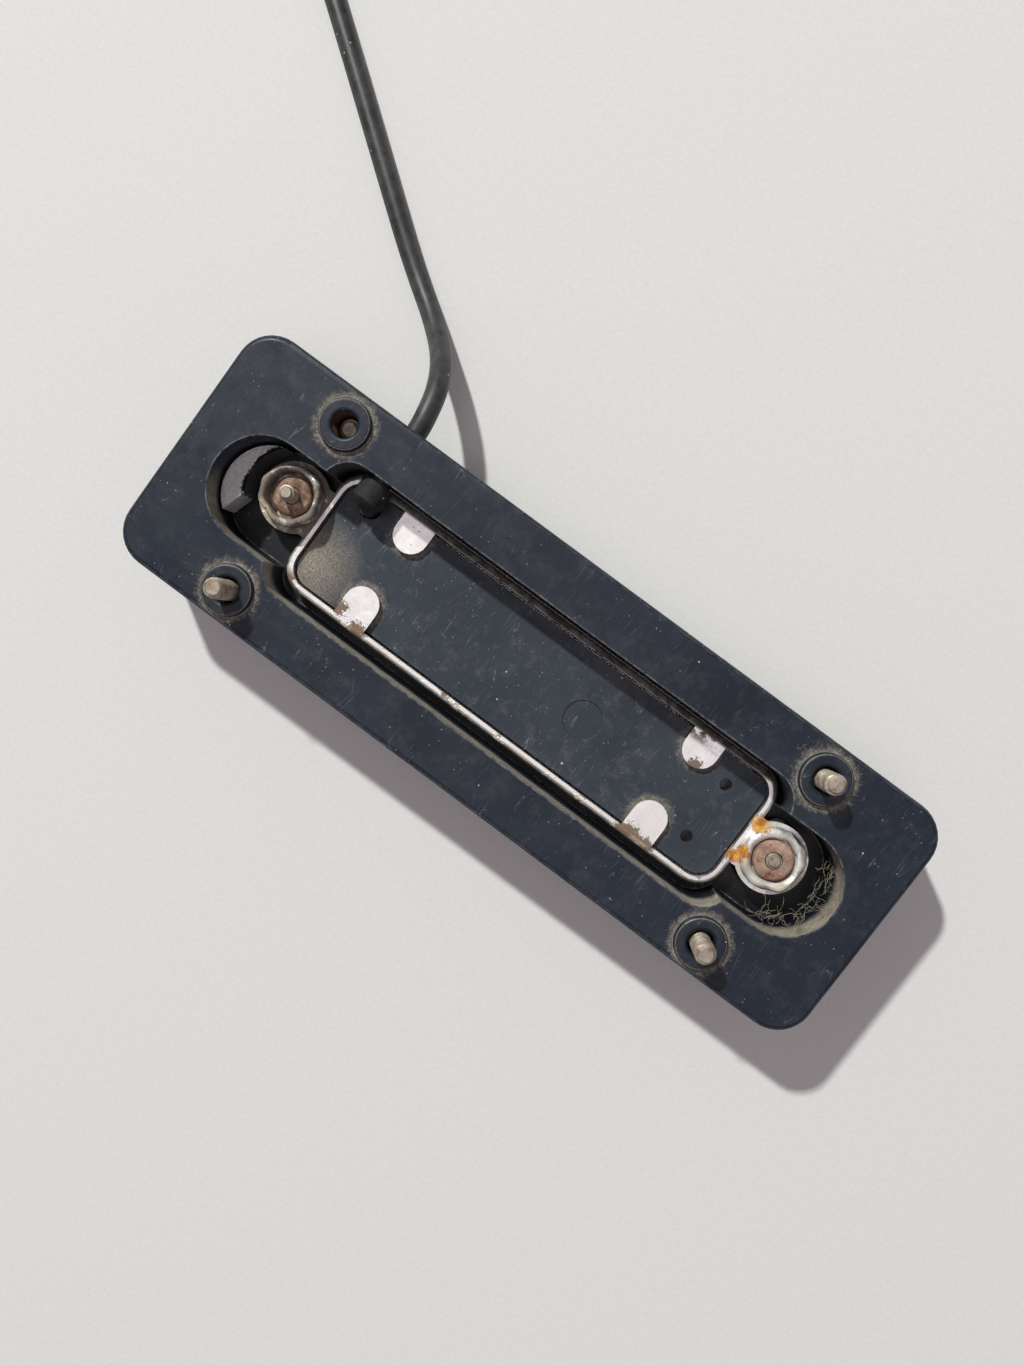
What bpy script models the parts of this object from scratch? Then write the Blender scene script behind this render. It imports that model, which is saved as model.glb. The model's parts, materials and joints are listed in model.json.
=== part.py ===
"""Guitar pickup hanging in its moulded mounting surround, lying face down.

+X runs along the surround, +Y towards the side where the lead comes out, and +Z
towards the back of the pickup, so that the front of its cover rests on z = 0.
Sizes are in millimetres here and are turned into metres by mm().
"""
import math

import bmesh
import bpy

# ---------------------------------------------------------------- driving sizes
SURROUND_LENGTH = 110.0
SURROUND_WIDTH = 35.2
SURROUND_CORNER = 5.0
SURROUND_EDGE = 0.8
SURROUND_FRONT = 4.4
SURROUND_BACK = 15.4
FLOOR_TOP = SURROUND_FRONT + 1.4

POCKET_LENGTH = 74.0
POCKET_WIDTH = 20.3
POCKET_CORNER = 4.0
POCKET_CENTRE = (0.3, -0.1)
SLOT_LENGTH = 98.6
SLOT_WIDTH = 14.2
SLOT_Y = -0.4

PAD_TOP = SURROUND_BACK - 4.3
PAD_UPPER_END = -42.5
PAD_LOWER_END = -46.4
PAD_HOLE_RADIUS = 6.3

BOSS_COLUMNS = {"left": -38.1, "right": 38.1}
BOSS_ROWS = {"lower": -13.35, "upper": 12.9}
BOSS_RADIUS = 3.5
BOSS_TOP = SURROUND_BACK + 0.8
MOUNT_HOLE_RADIUS = 1.75
MOUNT_SCREW_RADIUS = 1.4
MOUNT_SCREW_HEAD = 2.7
MOUNT_SCREW_OUT = 5.6
SHORT_SCREW_TOP = 13.0

PICKUP_CENTRE = (0.3, 0.4)
CAN_LENGTH = 72.4
CAN_WIDTH = 18.6
CAN_CORNER = 4.0
CAN_WALL = 1.0
CAN_FRONT_WALL = 0.8
CAN_RIM = 9.4
CAN_EDGE = 0.5

PLATE_BOTTOM = 7.4
PLATE_TOP = 8.6
PLATE_GAP = 0.3
PLATE_HOLE_X = 29.9
PLATE_HOLE_Y = 4.35
PLATE_HOLE_RADIUS = 0.85
GATE_MARK = (9.3, 0.3)
GATE_MARK_RADIUS = 2.7

TAB_PLACES = (-24.0, 24.3)
TAB_WIDTH = 5.0
TAB_TIPS = {1: 4.0, -1: -2.5}
TAB_BOTTOM = 9.0
TAB_TOP = 9.5

EAR_PLACES = {"left": (-39.9, 1.3), "right": (40.5, 0.5)}
EAR_BOTTOM = 8.5
EAR_TOP = 9.3
EAR_RADIUS = 4.9
EAR_NECK = 7.4
EAR_HOLE_RADIUS = 1.45
CUP_SIZES = {"left": (3.25, 4.15, 12.2), "right": (2.95, 4.3, 10.9)}

NUT_BOTTOM = EAR_TOP + 0.3
NUT_RADIUS = 2.7
NUT_TOPS = {"left": 10.9, "right": 11.1}
HEIGHT_HOLE_RADIUS = 1.5
HEIGHT_SCREW_RADIUS = 1.1
HEIGHT_SCREW_HEAD = 2.3
HEIGHT_SCREW_TOPS = {"left": 13.7, "right": 11.5}
THREAD_CLEARANCE = 0.06
FOAM_OUTER = 5.1
FOAM_INNER = 1.7
FOAM_GAP = 0.3

BOBBIN_LENGTH = 55.0
BOBBIN_WIDTH = 13.0
BOBBIN_BOTTOM = 1.1
BOBBIN_TOP = 7.1
FLANGE_THICKNESS = 0.8
CORE_INSET = 3.5
MAGNET_RADIUS = 1.95
MAGNET_PITCH = 8.6
MAGNET_COUNT = 6

CABLE_RADIUS = 1.5
CABLE_X = -30.9
CABLE_Z = 12.0
GROMMET_RADIUS = 2.25
GROMMET_BORE = 1.78
GROMMET_Y = (5.8, 9.6)
STEM_Y = 6.3
STEM_RADIUS = 1.4
WALL_SLOT_HALF_WIDTH = 1.9
WALL_SLOT_Z = (9.5, 14.4)

COIL_MID_RADIUS = 16.5
COIL_INNER = 13.4
COIL_OUTER = 19.6
COIL_BOTTOM = 0.5
COIL_TOP = 3.5
CABLE_FLOOR_Z = 1.52

# The lead's route while it is free: out of the surround, down, and along the table.
CABLE_ROUTE = [
    (-30.9, 7.6, 12.0),
    (-30.9, 12.0, 12.0),
    (-30.9, 17.6, 12.0),
    (-31.3, 20.6, 11.8),
    (-32.2, 23.6, 10.8),
    (-33.8, 26.4, 8.9),
    (-36.0, 28.9, 6.6),
    (-38.8, 31.2, 4.3),
    (-42.1, 33.6, 2.6),
    (-46.0, 36.2, 1.7),
    (-50.4, 39.3, CABLE_FLOOR_Z),
    (-55.2, 42.9, CABLE_FLOOR_Z),
    (-61.8, 47.9, CABLE_FLOOR_Z),
    (-71.3, 55.1, CABLE_FLOOR_Z),
    (-79.3, 61.1, CABLE_FLOOR_Z),
    (-87.0, 66.8, CABLE_FLOOR_Z),
    (-94.0, 71.9, CABLE_FLOOR_Z),
]
COIL_CENTRE = (-81.6, 89.5)
COIL_GAP = 0.35
END_ANGLE = 95.0
END_HEADING = 9.0

COLOURS = {
    "black_plastic": ((0.055, 0.065, 0.080), 0.55, 0.0),
    "nickel": ((0.72, 0.69, 0.62), 0.32, 1.0),
    "black_fibre": ((0.050, 0.060, 0.072), 0.60, 0.0),
    "dull_steel": ((0.50, 0.44, 0.34), 0.50, 1.0),
    "rusty_steel": ((0.36, 0.20, 0.12), 0.75, 0.6),
    "black_foam": ((0.018, 0.018, 0.022), 0.95, 0.0),
    "grey_felt": ((0.42, 0.43, 0.43), 0.95, 0.0),
    "black_rubber": ((0.025, 0.023, 0.024), 0.60, 0.0),
    "grey_lead": ((0.050, 0.048, 0.050), 0.50, 0.0),
    "white_insulation": ((0.78, 0.76, 0.70), 0.50, 0.0),
    "tinned_copper": ((0.66, 0.62, 0.56), 0.35, 1.0),
    "cream_bobbin": ((0.70, 0.63, 0.46), 0.45, 0.0),
    "enamelled_wire": ((0.38, 0.12, 0.05), 0.35, 0.4),
    "magnet_alloy": ((0.32, 0.32, 0.33), 0.55, 1.0),
}


# ---------------------------------------------------------------- the empty scene
def clear_scene():
    for old in list(bpy.data.objects):
        bpy.data.objects.remove(old, do_unlink=True)


def make_collection(name, hidden):
    collection = bpy.data.collections.new(name)
    bpy.context.scene.collection.children.link(collection)
    collection.hide_render = hidden
    return collection


clear_scene()
PIECES = make_collection("guitar_pickup", hidden=False)
CUTTERS = make_collection("cutters", hidden=True)
MATERIALS = {}


def mm(value):
    return value * 0.001


def material(slot):
    if slot not in MATERIALS:
        colour, roughness, metallic = COLOURS[slot]
        made = bpy.data.materials.new(slot)
        made.use_nodes = True
        shader = made.node_tree.nodes["Principled BSDF"]
        shader.inputs["Base Color"].default_value = (*colour, 1.0)
        shader.inputs["Roughness"].default_value = roughness
        shader.inputs["Metallic"].default_value = metallic
        MATERIALS[slot] = made
    return MATERIALS[slot]


def place(name, data, slot, location=(0.0, 0.0, 0.0)):
    """Put new data in the scene: a piece if it has a material slot, else a cutter."""
    obj = bpy.data.objects.new(name, data)
    obj.location = [mm(value) for value in location]
    if slot:
        data.materials.append(material(slot))
        PIECES.objects.link(obj)
    else:
        CUTTERS.objects.link(obj)
        obj.hide_render = True
        obj.display_type = "WIRE"
    return obj


# ---------------------------------------------------------------- outlines
def arc(centre, radius, start, end, steps):
    """Points along an arc, with angles in degrees."""
    points = []
    for step in range(steps + 1):
        angle = math.radians(start + (end - start) * step / steps)
        points.append((centre[0] + radius * math.cos(angle), centre[1] + radius * math.sin(angle)))
    return points


def rounded_rectangle(length, width, radius, centre=(0.0, 0.0), steps=6):
    points = []
    for turn, (side_x, side_y) in enumerate(((1, 1), (-1, 1), (-1, -1), (1, -1))):
        corner = (centre[0] + side_x * (length / 2 - radius), centre[1] + side_y * (width / 2 - radius))
        points += arc(corner, radius, 90 * turn, 90 * turn + 90, steps)
    return points


def circle(centre, radius, steps=24):
    return arc(centre, radius, 0, 360, steps)[:-1]


# ---------------------------------------------------------------- shapes
def plate(name, slot, outlines, bottom, top, edge=0.0):
    """A flat piece: its first outline is the rim and any others are holes in it."""
    curve = bpy.data.curves.new(name, "CURVE")
    curve.dimensions = "2D"
    curve.fill_mode = "BOTH"
    curve.extrude = mm((top - bottom) / 2 - edge)
    curve.bevel_depth = mm(edge)
    curve.bevel_resolution = 2
    curve.offset = mm(-edge)
    for outline in outlines:
        spline = curve.splines.new("POLY")
        spline.points.add(len(outline) - 1)
        for point, (x, y) in zip(spline.points, outline):
            point.co = (mm(x), mm(y), 0.0, 1.0)
        spline.use_cyclic_u = True
    return as_mesh(place(name, curve, slot, (0.0, 0.0, (bottom + top) / 2)))


def as_mesh(obj):
    """Swap a curve object for the mesh that it makes, with its caps joined to its walls."""
    bpy.context.view_layer.update()
    evaluated = obj.evaluated_get(bpy.context.evaluated_depsgraph_get())
    mesh = bpy.data.meshes.new_from_object(evaluated)
    shape = bmesh.new()
    shape.from_mesh(mesh)
    bmesh.ops.remove_doubles(shape, verts=shape.verts, dist=0.000001)
    bmesh.ops.recalc_face_normals(shape, faces=shape.faces)
    shape.to_mesh(mesh)
    shape.free()
    name = obj.name
    matrix = obj.matrix_world.copy()
    curve = obj.data
    collection = obj.users_collection[0]
    hidden = obj.hide_render
    bpy.data.objects.remove(obj, do_unlink=True)
    bpy.data.curves.remove(curve)
    swapped = bpy.data.objects.new(name, mesh)
    swapped.matrix_world = matrix
    swapped.hide_render = hidden
    if hidden:
        swapped.display_type = "WIRE"
    collection.objects.link(swapped)
    return swapped


def cylinder(name, slot, centre, radius, bottom, top, steps=24):
    mesh = bpy.data.meshes.new(name)
    shape = bmesh.new()
    bmesh.ops.create_cone(shape, cap_ends=True, segments=steps, radius1=mm(radius),
                          radius2=mm(radius), depth=mm(top - bottom))
    shape.to_mesh(mesh)
    shape.free()
    return place(name, mesh, slot, (centre[0], centre[1], (bottom + top) / 2))


def turned(name, slot, profile, centre, closed=False, steps=32):
    """A turned piece: the profile's (radius, height) points run down its outer side."""
    mesh = bpy.data.meshes.new(name)
    shape = bmesh.new()
    points = [shape.verts.new((mm(radius), 0.0, mm(height))) for radius, height in profile]
    for first, second in zip(points, points[1:]):
        shape.edges.new((first, second))
    if closed:
        shape.edges.new((points[-1], points[0]))
    shape.to_mesh(mesh)
    shape.free()
    obj = place(name, mesh, slot, (centre[0], centre[1], 0.0))
    screw = obj.modifiers.new("turn", "SCREW")
    screw.steps = steps
    screw.render_steps = steps
    screw.use_merge_vertices = True
    screw.merge_threshold = 0.00001
    return obj


def wire(name, slot, route, radius, resolution=2):
    """A round wire or lead along a list of points in millimetres."""
    curve = bpy.data.curves.new(name, "CURVE")
    curve.dimensions = "3D"
    curve.bevel_depth = mm(radius)
    curve.bevel_resolution = resolution
    curve.use_fill_caps = True
    spline = curve.splines.new("POLY")
    spline.points.add(len(route) - 1)
    for point, place_on_route in zip(spline.points, route):
        point.co = (*[mm(value) for value in place_on_route], 1.0)
    return place(name, curve, slot)


def combine(target, other, operation):
    boolean = target.modifiers.new(other.name, "BOOLEAN")
    boolean.operation = operation
    boolean.solver = "EXACT"
    boolean.object = other


# ---------------------------------------------------------------- the surround
def make_surround():
    outline = rounded_rectangle(SURROUND_LENGTH, SURROUND_WIDTH, SURROUND_CORNER, steps=8)
    surround = plate("surround", "black_plastic", [outline], SURROUND_FRONT, SURROUND_BACK, SURROUND_EDGE)
    bosses = [(x, y) for x in BOSS_COLUMNS.values() for y in BOSS_ROWS.values()]
    for index, centre in enumerate(bosses):
        boss = cylinder(f"boss_{index}", None, centre, BOSS_RADIUS, SURROUND_BACK - 0.5, BOSS_TOP, 40)
        combine(surround, boss, "UNION")
    pocket = rounded_rectangle(POCKET_LENGTH, POCKET_WIDTH, POCKET_CORNER, POCKET_CENTRE)
    combine(surround, plate("pocket", None, [pocket], FLOOR_TOP, BOSS_TOP + 1), "DIFFERENCE")
    slot = rounded_rectangle(SLOT_LENGTH, SLOT_WIDTH, SLOT_WIDTH / 2 - 0.01, (0.0, SLOT_Y), steps=12)
    combine(surround, plate("slot", None, [slot], FLOOR_TOP, BOSS_TOP + 2), "DIFFERENCE")
    window = rounded_rectangle(CAN_LENGTH + 0.6, CAN_WIDTH + 0.5, CAN_CORNER, PICKUP_CENTRE)
    combine(surround, plate("window", None, [window], SURROUND_FRONT - 1, FLOOR_TOP + 1), "DIFFERENCE")
    for index, centre in enumerate(bosses):
        hole = cylinder(f"mounting_hole_{index}", None, centre, MOUNT_HOLE_RADIUS,
                        SURROUND_FRONT - 2, BOSS_TOP + 2)
        combine(surround, hole, "DIFFERENCE")
    for name, centre in EAR_PLACES.items():
        hole = cylinder(f"height_hole_{name}", None, centre, HEIGHT_HOLE_RADIUS,
                        SURROUND_FRONT - 2, FLOOR_TOP + 1)
        combine(surround, hole, "DIFFERENCE")
    make_lead_slot(surround)


def make_lead_slot(surround):
    """An upright slot through the +Y wall, so that the lead can rise and fall with the pickup."""
    low, high = WALL_SLOT_Z
    outline = rounded_rectangle(2 * WALL_SLOT_HALF_WIDTH, high - low, WALL_SLOT_HALF_WIDTH - 0.01, steps=6)
    slot = plate("lead_slot", None, [outline], 0.0, 12.0)
    slot.rotation_euler = (math.radians(-90), 0.0, 0.0)
    slot.location = (mm(CABLE_X), mm(POCKET_WIDTH / 2 + 5), mm((low + high) / 2))
    combine(surround, slot, "DIFFERENCE")


def make_end_pad():
    """A piece of grey felt that packs the slot's left end, with a round gap for the ear."""
    radius = SLOT_WIDTH / 2 - 0.4
    middle = radius - (SLOT_LENGTH / 2 - 0.4)
    upper = math.degrees(math.acos((PAD_UPPER_END - middle) / radius))
    lower = 360 - math.degrees(math.acos((PAD_LOWER_END - middle) / radius))
    outline = arc((middle, SLOT_Y), radius, upper, lower, 16)
    pad = plate("end_pad", "grey_felt", [outline], FLOOR_TOP + 0.3, PAD_TOP)
    gap = cylinder("gap_for_ear", None, EAR_PLACES["left"], PAD_HOLE_RADIUS, FLOOR_TOP - 1, SURROUND_BACK, 48)
    combine(pad, gap, "DIFFERENCE")


def make_mounting_screws():
    """Four screws pass from the front through the bosses, and one of them is a short one."""
    head_top = SURROUND_FRONT - 0.3
    tops = {("left", "upper"): SHORT_SCREW_TOP}
    for column, boss_x in BOSS_COLUMNS.items():
        for row, boss_y in BOSS_ROWS.items():
            top = tops.get((column, row), SURROUND_BACK + MOUNT_SCREW_OUT)
            profile = [
                (0.0, top),
                (MOUNT_SCREW_RADIUS - 0.35, top),
                (MOUNT_SCREW_RADIUS, top - 0.5),
                (MOUNT_SCREW_RADIUS, head_top),
                (MOUNT_SCREW_HEAD, head_top),
                (MOUNT_SCREW_HEAD - 0.2, head_top - 0.9),
                (MOUNT_SCREW_HEAD - 0.9, head_top - 1.5),
                (0.0, head_top - 1.7),
            ]
            name = f"mounting_screw_{column}_{row}"
            screw = turned(name, "dull_steel", profile, (boss_x, boss_y), steps=24)
            cut_driver_slot(screw, 2 * MOUNT_SCREW_HEAD, head_top - 1.7)


def cut_driver_slot(screw, length, front):
    """A straight screwdriver slot across a head that faces the front."""
    mesh = bpy.data.meshes.new(screw.name + "_slot")
    shape = bmesh.new()
    bmesh.ops.create_cube(shape, size=1.0)
    bmesh.ops.scale(shape, vec=(mm(length + 1), mm(0.7), mm(1.4)), verts=shape.verts)
    shape.to_mesh(mesh)
    shape.free()
    cutter = place(screw.name + "_slot", mesh, None)
    cutter.location = (screw.location.x, screw.location.y, mm(front))
    combine(screw, cutter, "DIFFERENCE")


# ---------------------------------------------------------------- the pickup
def make_cover():
    """The pressed can, with an ear and a cup at each end and four tabs folded over the back."""
    outline = rounded_rectangle(CAN_LENGTH, CAN_WIDTH, CAN_CORNER, PICKUP_CENTRE)
    cover = plate("pickup_cover", "nickel", [outline], 0.0, CAN_RIM, CAN_EDGE)
    for name, (ear_x, ear_y) in EAR_PLACES.items():
        neck = rounded_rectangle(2 * EAR_RADIUS, EAR_NECK, 0.5, (ear_x * 0.94, ear_y), steps=2)
        combine(cover, plate(f"neck_{name}", None, [neck], EAR_BOTTOM, EAR_TOP), "UNION")
        ear = cylinder(f"ear_{name}", None, (ear_x, ear_y), EAR_RADIUS, EAR_BOTTOM + 0.05, EAR_TOP - 0.05, 40)
        combine(cover, ear, "UNION")
    inner_length = CAN_LENGTH - 2 * CAN_WALL
    inner_width = CAN_WIDTH - 2 * CAN_WALL
    hollow = rounded_rectangle(inner_length, inner_width, CAN_CORNER - CAN_WALL,
                               PICKUP_CENTRE)
    combine(cover, plate("can_hollow", None, [hollow], CAN_FRONT_WALL, CAN_RIM + 1), "DIFFERENCE")
    for name in EAR_PLACES:
        add_cup(cover, name)
    for tab_x in TAB_PLACES:
        for side in TAB_TIPS:
            add_tab(cover, tab_x, side)


def add_cup(cover, name):
    """A rolled ring on the ear that holds the nut, with the screw's hole through its floor."""
    inner, outer, top = CUP_SIZES[name]
    middle = (inner + outer) / 2
    roll = (outer - inner) / 2
    crown = [(middle + roll * math.cos(math.radians(a)), top - roll + roll * math.sin(math.radians(a)))
             for a in range(180, -1, -30)]
    profile = crown + [(outer, EAR_BOTTOM + 0.4), (inner, EAR_BOTTOM + 0.4)]
    cup = turned(f"cup_{name}", None, profile, EAR_PLACES[name], closed=True, steps=40)
    combine(cover, cup, "UNION")
    hole = cylinder(f"ear_hole_{name}", None, EAR_PLACES[name], EAR_HOLE_RADIUS, EAR_BOTTOM - 1, EAR_TOP + 0.5)
    combine(cover, hole, "DIFFERENCE")


def add_tab(cover, tab_x, side):
    """A round-ended tongue that stands up out of the rim and is folded down over the base plate."""
    root = PICKUP_CENTRE[1] + side * (CAN_WIDTH - CAN_WALL) / 2
    radius = TAB_WIDTH / 2
    middle = TAB_TIPS[side] + side * radius
    outline = arc((tab_x, middle), radius, 0, -180 * side, 12)
    outline += [(tab_x - radius, root), (tab_x + radius, root)]
    tab = plate(f"tab_{tab_x}_{side}", None, [outline], TAB_BOTTOM, TAB_TOP)
    combine(cover, tab, "UNION")


def make_base_plate():
    gap = CAN_WALL + PLATE_GAP
    rim = rounded_rectangle(CAN_LENGTH - 2 * gap, CAN_WIDTH - 2 * gap, CAN_CORNER - gap, PICKUP_CENTRE)
    holes = [circle((PLATE_HOLE_X, PICKUP_CENTRE[1] + side * PLATE_HOLE_Y), PLATE_HOLE_RADIUS, 20)
             for side in (-1, 1)]
    holes.append(circle((CABLE_X, STEM_Y), STEM_RADIUS + 0.25))
    base = plate("base_plate", "black_fibre", [rim] + holes, PLATE_BOTTOM, PLATE_TOP)
    gate_mark = cylinder("gate_mark", None, GATE_MARK, GATE_MARK_RADIUS, PLATE_TOP - 0.2, PLATE_TOP + 1, 32)
    combine(base, gate_mark, "DIFFERENCE")


def make_bobbin():
    def flange(name, slot, bottom, top):
        outline = rounded_rectangle(BOBBIN_LENGTH, BOBBIN_WIDTH, BOBBIN_WIDTH / 2 - 0.1, PICKUP_CENTRE)
        return plate(name, slot, [outline], bottom, top)

    bobbin = flange("bobbin", "cream_bobbin", BOBBIN_BOTTOM, BOBBIN_BOTTOM + FLANGE_THICKNESS)
    combine(bobbin, flange("back_flange", None, BOBBIN_TOP - FLANGE_THICKNESS, BOBBIN_TOP), "UNION")
    core_width = BOBBIN_WIDTH - 2 * CORE_INSET
    core_outline = rounded_rectangle(BOBBIN_LENGTH - 2 * CORE_INSET, core_width, core_width / 2 - 0.1,
                                     PICKUP_CENTRE)
    core = plate("core", None, [core_outline], BOBBIN_BOTTOM + 0.4, BOBBIN_TOP - 0.4)
    combine(bobbin, core, "UNION")
    for index in range(MAGNET_COUNT):
        bore = cylinder(f"magnet_bore_{index}", None, magnet_place(index), MAGNET_RADIUS + 0.15,
                        BOBBIN_BOTTOM - 1, BOBBIN_TOP + 1)
        combine(bobbin, bore, "DIFFERENCE")


def magnet_place(index):
    return (PICKUP_CENTRE[0] + (index - (MAGNET_COUNT - 1) / 2) * MAGNET_PITCH, PICKUP_CENTRE[1])


def make_magnets():
    for index in range(MAGNET_COUNT):
        cylinder(f"rod_magnet_{index + 1}", "magnet_alloy", magnet_place(index), MAGNET_RADIUS,
                 BOBBIN_BOTTOM, BOBBIN_TOP)


def make_winding():
    inset = 0.5
    width = BOBBIN_WIDTH - 2 * inset
    outer = rounded_rectangle(BOBBIN_LENGTH - 2 * inset, width, width / 2 - 0.1, PICKUP_CENTRE)
    inset = CORE_INSET - 0.3
    width = BOBBIN_WIDTH - 2 * inset
    inner = rounded_rectangle(BOBBIN_LENGTH - 2 * inset, width, width / 2 - 0.1, PICKUP_CENTRE)
    plate("coil_winding", "enamelled_wire", [outer, inner], BOBBIN_BOTTOM + FLANGE_THICKNESS + 0.2,
          BOBBIN_TOP - FLANGE_THICKNESS - 0.2)


# ---------------------------------------------------------------- height adjusters
def make_adjusters():
    for name, centre in EAR_PLACES.items():
        bore = HEIGHT_SCREW_RADIUS + THREAD_CLEARANCE
        top = NUT_TOPS[name]
        nut = [(NUT_RADIUS - 0.3, top), (NUT_RADIUS, top - 0.3), (NUT_RADIUS, NUT_BOTTOM),
               (bore, NUT_BOTTOM), (bore, top)]
        turned(f"captive_nut_{name}", "rusty_steel", nut, centre, closed=True)
        make_height_screw(name, centre)
        make_foam_washer(name, centre)


def make_height_screw(name, centre):
    top = HEIGHT_SCREW_TOPS[name]
    head_top = SURROUND_FRONT - 0.3
    profile = [
        (0.0, top),
        (HEIGHT_SCREW_RADIUS - 0.3, top),
        (HEIGHT_SCREW_RADIUS, top - 0.35),
        (HEIGHT_SCREW_RADIUS, head_top),
        (HEIGHT_SCREW_HEAD, head_top),
        (HEIGHT_SCREW_HEAD, head_top - 0.8),
        (HEIGHT_SCREW_HEAD - 0.6, head_top - 1.4),
        (0.0, head_top - 1.5),
    ]
    screw = turned(f"height_screw_{name}", "dull_steel", profile, centre, steps=32)
    cut_driver_slot(screw, 2 * HEIGHT_SCREW_HEAD, head_top - 1.5)


def make_foam_washer(name, centre):
    """A thick ring of black foam under the ear, flat beside the can, that pushes the pickup up."""
    bottom = FLOOR_TOP + 0.3
    top = EAR_BOTTOM - 0.3
    ring = [(FOAM_OUTER - 0.3, top), (FOAM_OUTER, top - 0.5), (FOAM_OUTER, bottom + 0.5),
            (FOAM_OUTER - 0.3, bottom), (FOAM_INNER, bottom), (FOAM_INNER, top)]
    washer = turned(f"foam_washer_{name}", "black_foam", ring, centre, closed=True)
    side = -1 if centre[0] < 0 else 1
    can_end = PICKUP_CENTRE[0] + side * (CAN_LENGTH / 2 + FOAM_GAP)
    inward = can_end - side * FOAM_OUTER
    outline = [(can_end, -2 * FOAM_OUTER), (can_end, 2 * FOAM_OUTER), (inward, 2 * FOAM_OUTER),
               (inward, -2 * FOAM_OUTER)]
    combine(washer, plate(f"beside_can_{name}", None, [outline], SURROUND_FRONT, SURROUND_BACK), "DIFFERENCE")


# ---------------------------------------------------------------- the lead
def make_grommet():
    """A right-angled rubber bushing: the lead goes in at its mouth and its stem passes the plate."""
    low, high = GROMMET_Y
    profile = [(0.0, high - low), (GROMMET_RADIUS, high - low), (GROMMET_RADIUS, 0.9),
               (GROMMET_RADIUS - 0.35, 0.35), (GROMMET_RADIUS - 1.0, 0.0), (0.0, 0.0)]
    grommet = turned("lead_grommet", "black_rubber", profile, (0.0, 0.0), steps=24)
    grommet.rotation_euler = (math.radians(-90), 0.0, 0.0)
    grommet.location = (mm(CABLE_X), mm(low), mm(CABLE_Z))
    stem = cylinder("grommet_stem", None, (CABLE_X, STEM_Y), STEM_RADIUS, PLATE_BOTTOM - 0.3, CABLE_Z - 1.9)
    combine(grommet, stem, "UNION")
    bore = cylinder("grommet_bore", None, (0.0, 0.0), GROMMET_BORE, 0.0, 6.0)
    bore.rotation_euler = (math.radians(-90), 0.0, 0.0)
    bore.location = (mm(CABLE_X), mm(STEM_Y + 0.8 + 3.0), mm(CABLE_Z))
    combine(grommet, bore, "DIFFERENCE")


def make_coil_leads():
    """The two fine wires from the winding to the lead, under the base plate."""
    for name, offset in (("live", 0.8), ("earth", -0.8)):
        route = [(CABLE_X + offset, STEM_Y, 6.7), (CABLE_X + offset * 1.2, STEM_Y - 1.2, 5.6),
                 (CABLE_X + 1.2 + offset, STEM_Y - 3.0, 4.8), (-28.0 + offset * 0.3, 3.0 + offset, 4.4),
                 (-27.6, 2.2 + offset * 1.6, 4.2)]
        wire(f"coil_lead_{name}", "enamelled_wire", route, 0.22, resolution=1)


def make_cable():
    wire("cable", "grey_lead", CABLE_ROUTE, CABLE_RADIUS)
    low = COIL_BOTTOM
    high = COIL_TOP
    half = (high - low) / 2
    profile = [(x, y) for x, y in arc((COIL_OUTER - half, low + half), half, 90, -90, 8)]
    profile += [(x, y) for x, y in arc((COIL_INNER + half, low + half), half, 270, 90, 8)]
    turned("cable_coil", "grey_lead", profile, COIL_CENTRE, closed=True, steps=40)


def make_cable_tie():
    """A loop of soft wire round the coil's turns."""
    width = COIL_OUTER - COIL_INNER + 1.0
    height = COIL_TOP + 0.5
    outer = rounded_rectangle(width, height, 1.0, steps=4)
    inner = rounded_rectangle(width - 0.8, height - 0.8, 0.7, steps=4)
    tie = plate("cable_tie", "black_rubber", [outer, inner], -1.0, 1.0)
    direction = math.radians(60)
    tie.rotation_euler = (math.radians(90), 0.0, direction)
    tie.location = (mm(COIL_CENTRE[0] + COIL_MID_RADIUS * math.cos(direction)),
                    mm(COIL_CENTRE[1] + COIL_MID_RADIUS * math.sin(direction)), mm(height / 2))


def make_cable_end():
    """The free end outside the coil: its jacket, its core and the twisted screen."""
    start = math.radians(END_ANGLE)
    away = (math.cos(math.radians(END_HEADING)), math.sin(math.radians(END_HEADING)))
    reach = COIL_OUTER + COIL_GAP + CABLE_RADIUS
    root = (COIL_CENTRE[0] + reach * math.cos(start), COIL_CENTRE[1] + reach * math.sin(start))

    def along(distance, aside=0.0):
        return (root[0] + away[0] * distance - away[1] * aside,
                root[1] + away[1] * distance + away[0] * aside, CABLE_FLOOR_Z)

    wire("cable_end", "grey_lead", [along(0.0), along(4.0, -0.1), along(8.0)], CABLE_RADIUS)
    wire("core_insulation", "white_insulation", [along(8.3, 0.5), along(11.0, 0.7), along(14.0, 1.2)], 0.6)
    wire("core_tip", "tinned_copper", [along(14.35, 1.3), along(16.0, 1.6), along(18.0, 2.1)], 0.3,
         resolution=1)
    wire("screen_pigtail", "tinned_copper", [along(8.3, -0.8), along(11.0, -1.6), along(16.0, -3.2)], 0.45,
         resolution=1)


# ---------------------------------------------------------------- the whole object
make_surround()
make_end_pad()
make_mounting_screws()
make_cover()
make_base_plate()
make_bobbin()
make_magnets()
make_winding()
make_adjusters()
make_grommet()
make_coil_leads()
make_cable()
make_cable_tie()
make_cable_end()
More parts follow.
